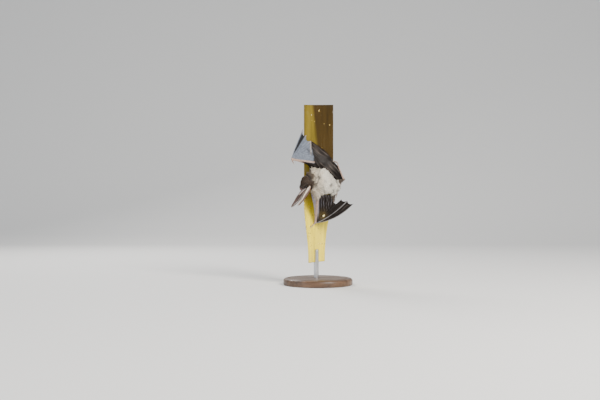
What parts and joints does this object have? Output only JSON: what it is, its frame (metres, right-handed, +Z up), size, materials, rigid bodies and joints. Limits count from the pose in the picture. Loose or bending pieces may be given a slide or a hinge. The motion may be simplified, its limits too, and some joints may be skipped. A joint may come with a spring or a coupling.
{
  "type": "brown long-eared bat",
  "caption": "Life-size still model of a small long-eared bat lying belly outwards on an upright sticky paper ribbon, wings half open, held by a rod on a round wooden base.",
  "frame": {"origin": "middle of the underside of the round base", "axes": "+Z up along the ribbon and the rod, -Y towards the side that the belly faces, -X towards the head, +X towards the rump"},
  "size_m": [0.0924, 0.092, 0.239],
  "materials": {
    "pale_fur": "dense cream-white belly fur over dark roots",
    "brown_fur": "dense brown fur",
    "bare_skin": "thin pinkish brown skin, slightly moist",
    "wing_skin": "thin wrinkled dark skin with a soft sheen",
    "eye_black": "wet black eye",
    "claw_horn": "smooth pale horn",
    "sticky_paper": "paper coated with clear amber glue",
    "stand_wood": "dark stained wood, satin",
    "stand_steel": "brushed"
  },
  "bodies": {
    "root": {"trunk": "pale_fur", "upper_arm_left": "pale_fur", "upper_arm_right": "pale_fur", "head": "brown_fur", "neck": "brown_fur", "thigh_left": "brown_fur", "thigh_right": "brown_fur", "ear_left": "bare_skin", "ear_right": "bare_skin", "tragus_left": "bare_skin", "tragus_right": "bare_skin", "forearm_left": "bare_skin", "forearm_right": "bare_skin", "thumb_left": "bare_skin", "thumb_right": "bare_skin", "shin_left": "bare_skin", "shin_right": "bare_skin", "foot_left": "bare_skin", "foot_right": "bare_skin", "tail": "bare_skin", "hand_wing_left": "wing_skin", "hand_wing_right": "wing_skin", "arm_wing_left": "wing_skin", "arm_wing_right": "wing_skin", "fore_web_left": "wing_skin", "fore_web_right": "wing_skin", "tail_web_left": "wing_skin", "tail_web_right": "wing_skin", "eye_left": "eye_black", "eye_right": "eye_black", "claw_thumb_left": "claw_horn", "claw_thumb_right": "claw_horn", "claw_left_1": "claw_horn", "claw_left_2": "claw_horn", "claw_left_3": "claw_horn", "claw_left_4": "claw_horn", "claw_left_5": "claw_horn", "claw_right_1": "claw_horn", "claw_right_2": "claw_horn", "claw_right_3": "claw_horn", "claw_right_4": "claw_horn", "claw_right_5": "claw_horn", "ribbon_perch": "sticky_paper", "stand_base": "stand_wood", "stand_rod": "stand_steel"}
  },
  "joints": []
}
